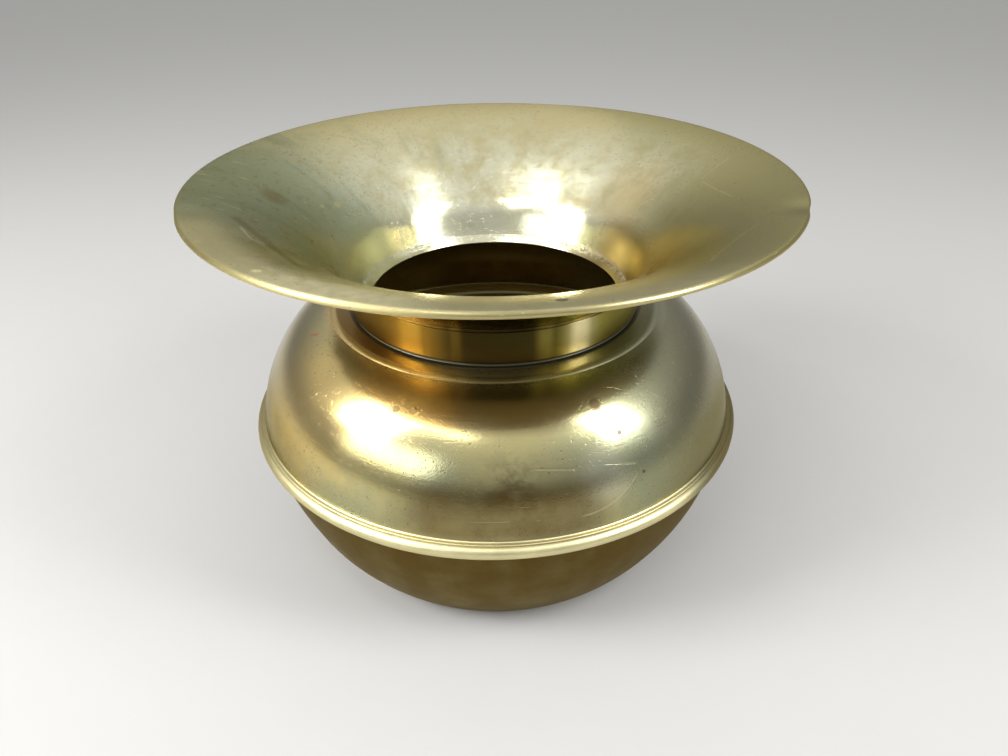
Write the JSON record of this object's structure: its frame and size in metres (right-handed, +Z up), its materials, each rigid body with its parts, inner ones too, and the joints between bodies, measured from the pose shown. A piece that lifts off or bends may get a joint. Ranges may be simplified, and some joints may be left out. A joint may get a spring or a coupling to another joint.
{
  "type": "spittoon",
  "caption": "Spun sheet-brass spittoon: round beaded bowl on a flat base, short neck and a wide flared mouth that lifts off for emptying.",
  "frame": {"origin": "centre of the base, on the floor", "axes": "+Z up along the axis of the bowl; the bowl is round, so X and Y are free"},
  "size_m": [0.2792, 0.2792, 0.1916],
  "materials": {
    "bowl_brass": "satin, aged olive-gold tarnish",
    "mouth_brass": "satin, aged, paler and greener on the left",
    "neck_brass": "smoother and more golden than the shells",
    "rim_wire": "plain drawn wire, hidden in the rolled rim",
    "solder": "soft solder, dulled"
  },
  "bodies": {
    "bowl": {"lower_bowl": "bowl_brass", "shoulder_shell": "bowl_brass"},
    "mouth": {"flared_mouth": "mouth_brass", "neck_sleeve": "neck_brass", "rim_wire": "rim_wire", "neck_solder": "solder"}
  },
  "joints": [
    {"name": "mouth_lift", "type": "slide", "parent": "bowl", "child": "mouth", "axis": [0, 0, 1], "range_m": [0, 0.06]}
  ]
}
